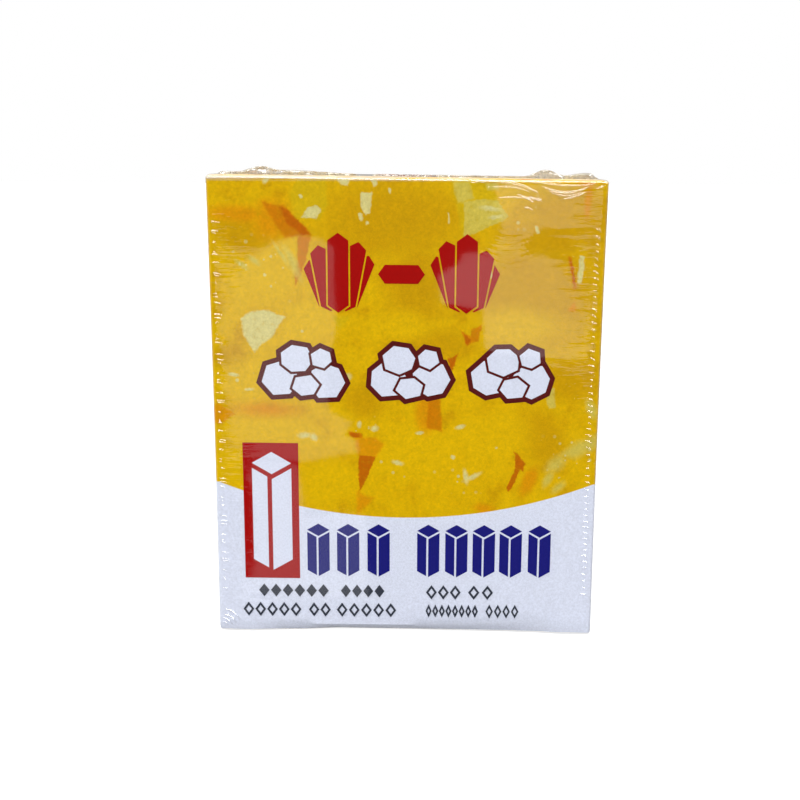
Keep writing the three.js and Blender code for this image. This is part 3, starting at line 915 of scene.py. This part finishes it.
for number, ((x, z), (out_x, out_z), reach) in enumerate(path):
    for row in range(SEAM_ROWS + 1):
        up = row / SEAM_ROWS
        far = reach * up - SEAM_ROOT
        crumple = CRUMPLE * noise.noise(Vector((x, z, row * MM)) * CRUMPLE_BENDS)
        crumple += FINE_CRUMPLE * noise.noise(Vector((z, x, row * MM)) * FINE_CRUMPLE_BENDS)
        points.append((x + out_x * far, reach * up * crumple, z + out_z * far - lean_at(x, z)))
    if number:
        low, high = (number - 1) * (SEAM_ROWS + 1), number * (SEAM_ROWS + 1)
        faces += [[low + row, high + row, high + row + 1, low + row + 1] for row in range(SEAM_ROWS)]
seam = new_piece("film_seam", points, faces, welded_film(), smooth_below=50)
skin = seam.modifiers.new("weld_thickness", "SOLIDIFY")
skin.thickness = SEAM_THICKNESS
skin.offset = 0


# The camera: level with the top of the pack, close in front and tipped down.
CAMERA_PLACE = Vector((3.55, -328.7, 137.8)) * MM
CAMERA_YAW, CAMERA_PITCH, CAMERA_ROLL = math.radians(0.96), math.radians(12.26), math.radians(0.20)
FOCAL_PIXELS, FRAME_PIXELS = 1110, 800
camera_data = bpy.data.cameras.new("camera")
camera_data.sensor_width = 36
camera_data.lens = camera_data.sensor_width * FOCAL_PIXELS / FRAME_PIXELS
camera_data.clip_start = 0.01
camera = bpy.data.objects.new("camera", camera_data)
turn = Matrix.Rotation(CAMERA_YAW, 4, "Z") @ Matrix.Rotation(math.pi / 2 - CAMERA_PITCH, 4, "X")
camera.matrix_world = Matrix.Translation(CAMERA_PLACE) @ turn @ Matrix.Rotation(CAMERA_ROLL, 4, "Z")
scene.collection.objects.link(camera)
scene.camera = camera
scene.view_settings.view_transform = "Standard"


# The studio: a pale floor, a white surround and a soft key light. Soft boxes and pale cards hang
# where the film mirrors them, and show nowhere but in gloss.
def stage_mesh(name, points, faces, material):
    thing = new_mesh(name, points, faces, material)
    return thing


def glowing_card(name, points, faces, strength):
    """A card that shows nowhere but in gloss."""
    material, tree = new_material(name + "_glow")
    finish_surface(tree, add(tree, "Emission", {"Strength": strength}).outputs[0])
    card = stage_mesh(name, points, faces, material)
    card.visible_camera = False
    card.visible_diffuse = False
    card.visible_shadow = False
    card.visible_transmission = False


# The floor throws back little light, and the camera sees it as near white paper.
FLOOR_REACH = 6.0
FLOOR_GREY = (0.32, 0.32, 0.32, 1)
FLOOR_GLOW = 0.92
floor_material, tree = new_material("studio_floor")
paper = add(tree, "BsdfDiffuse", {"Color": FLOOR_GREY})
seen_by_camera = add(tree, "LightPath").outputs["Is Camera Ray"]
lit_paper = add(tree, "Emission", {"Strength": times(tree, seen_by_camera, FLOOR_GLOW)})
finish_surface(tree, add(tree, "AddShader", {0: paper.outputs[0], 1: lit_paper.outputs[0]}).outputs[0])
square = [(-1, -1, 0), (1, -1, 0), (1, 1, 0), (-1, 1, 0)]
floor = stage_mesh("studio_floor", np.array(square) * FLOOR_REACH, [(0, 1, 2, 3)], floor_material)
floor.visible_glossy = False

# Two soft boxes hang in front of and above the pack, one behind the other: half size and middle.
SOFT_BOXES = (((0.9, 0.3, 0), (0.3, -0.55, 0.8)), ((0.5, 0.45, 0), (1.4, -1.35, 0.8)))
SOFT_BOX_GLOW = 13
soft_boxes = np.concatenate([np.array(square) * half + middle for half, middle in SOFT_BOXES])
glowing_card("soft_boxes", soft_boxes, [(0, 1, 2, 3), (4, 5, 6, 7)], SOFT_BOX_GLOW)

# Pale shapes in the dark room in front, placed by where the film mirrors them on the front panel.
CARD_Y = -0.45
ROOM_GLOW_LEFT, ROOM_GLOW_RIGHT = 0.65, 0.9
ROOM_SHAPES_LEFT = (
    [(-60, 106.5), (-53.9, 108.1), (-41.3, 111.2), (-37.4, 113.9), (-30.3, 117.2), (-23.8, 116.3),
     (-19.9, 114), (-20, 103), (-20.2, 89), (-23.1, 74), (-22.3, 68.3), (-15.5, 65.5), (-18, 60.5),
     (-13.6, 58.3), (-13.6, 55), (-29.8, 53), (-46.7, 54.1), (-60, 56)],
    [(-43.4, 52), (-31, 52), (-28.6, 36.5), (-12, 36.5), (-11, 10.5), (-47.5, 10.5), (-47.5, 18.6),
     (-43, 19.5)],
)
ROOM_SHAPES_RIGHT = (
    [(23.8, 140), (60, 140), (60, 121), (47.8, 120), (40.6, 118.5), (37.1, 120), (30.3, 118.4),
     (26.4, 119.5)],
    [(15.4, 112.6), (20, 113), (22, 116.4), (29.2, 114.4), (35, 113.9), (40.9, 108.9), (47, 101.6), (60, 96),
     (60, 82.3), (41.4, 82.2), (26, 84.8), (22, 86.9), (21.6, 96), (10, 98.6), (8.6, 107), (14, 109.8)],
)


def mirrored_in_film(x, z):
    """The point of the card that the camera sees mirrored at a place on the front panel."""
    step = 0.1
    y = -DEPTH / MM / 2
    spot, right, above = fill_out(np.array([(x, y, z), (x + step, y, z), (x, y, z + step)]) * MM)
    normal = np.cross(right - spot, above - spot)
    normal /= np.linalg.norm(normal)
    ray = spot - np.array(CAMERA_PLACE)
    ray -= 2 * ray.dot(normal) * normal
    return spot + ray * ((CARD_Y - spot[1]) / ray[1])


for side, shapes, strength in (("left", ROOM_SHAPES_LEFT, ROOM_GLOW_LEFT),
                               ("right", ROOM_SHAPES_RIGHT, ROOM_GLOW_RIGHT)):
    card_points, card_faces = [], []
    for shape in shapes:
        card_faces.append(list(range(len(card_points), len(card_points) + len(shape))))
        card_points += [mirrored_in_film(x, z) for x, z in shape]
    glowing_card(f"room_card_{side}", card_points, card_faces, strength)


def white_at(tree, strength):
    return add(tree, "Background", {"Color": (1, 1, 1, 1), "Strength": strength}).outputs[0]


# The surround is white, and gloss shows it only from behind, beside and below the pack.
world = bpy.data.worlds.new("studio")
scene.world = world
world.use_nodes = True
tree = world.node_tree
tree.nodes.clear()
path_kind = add(tree, "LightPath")
right, back, up = taken_apart(tree, add(tree, "TexCoord").outputs["Generated"])
behind = fade(tree, maths(tree, "MULTIPLY_ADD", up, 0.3, back), 0.0, 0.6)
behind = times(tree, behind, maths(tree, "MULTIPLY_ADD", fade(tree, up, -0.05, 0.12), 0.75, 0.2))
below = times(tree, fade(tree, up, -0.5, -0.85), 0.55)
beside = times(tree, fade(tree, maths(tree, "ABSOLUTE", right), 0.75, 0.95), 0.45)
mirrored = maths(tree, "MAXIMUM", maths(tree, "MAXIMUM", behind, below), beside)
backdrop, surround, in_gloss = (white_at(tree, strength) for strength in (1.0, 0.8, mirrored))
by_gloss, by_camera = path_kind.outputs["Is Glossy Ray"], path_kind.outputs["Is Camera Ray"]
seen = blend(tree, by_camera, blend(tree, by_gloss, surround, in_gloss), backdrop)
tree.links.new(seen, add(tree, "OutputWorld").inputs["Surface"])

KEY_STRENGTH = 2.85
KEY_DIRECTION = Vector((0.25, 0.55, -1.0))
key_data = bpy.data.lights.new("key", "SUN")
key_data.energy = KEY_STRENGTH
key_data.angle = math.radians(50)
key = bpy.data.objects.new("key", key_data)
key.rotation_euler = KEY_DIRECTION.to_track_quat("-Z", "Y").to_euler()
key.visible_glossy = False
scene.collection.objects.link(key)
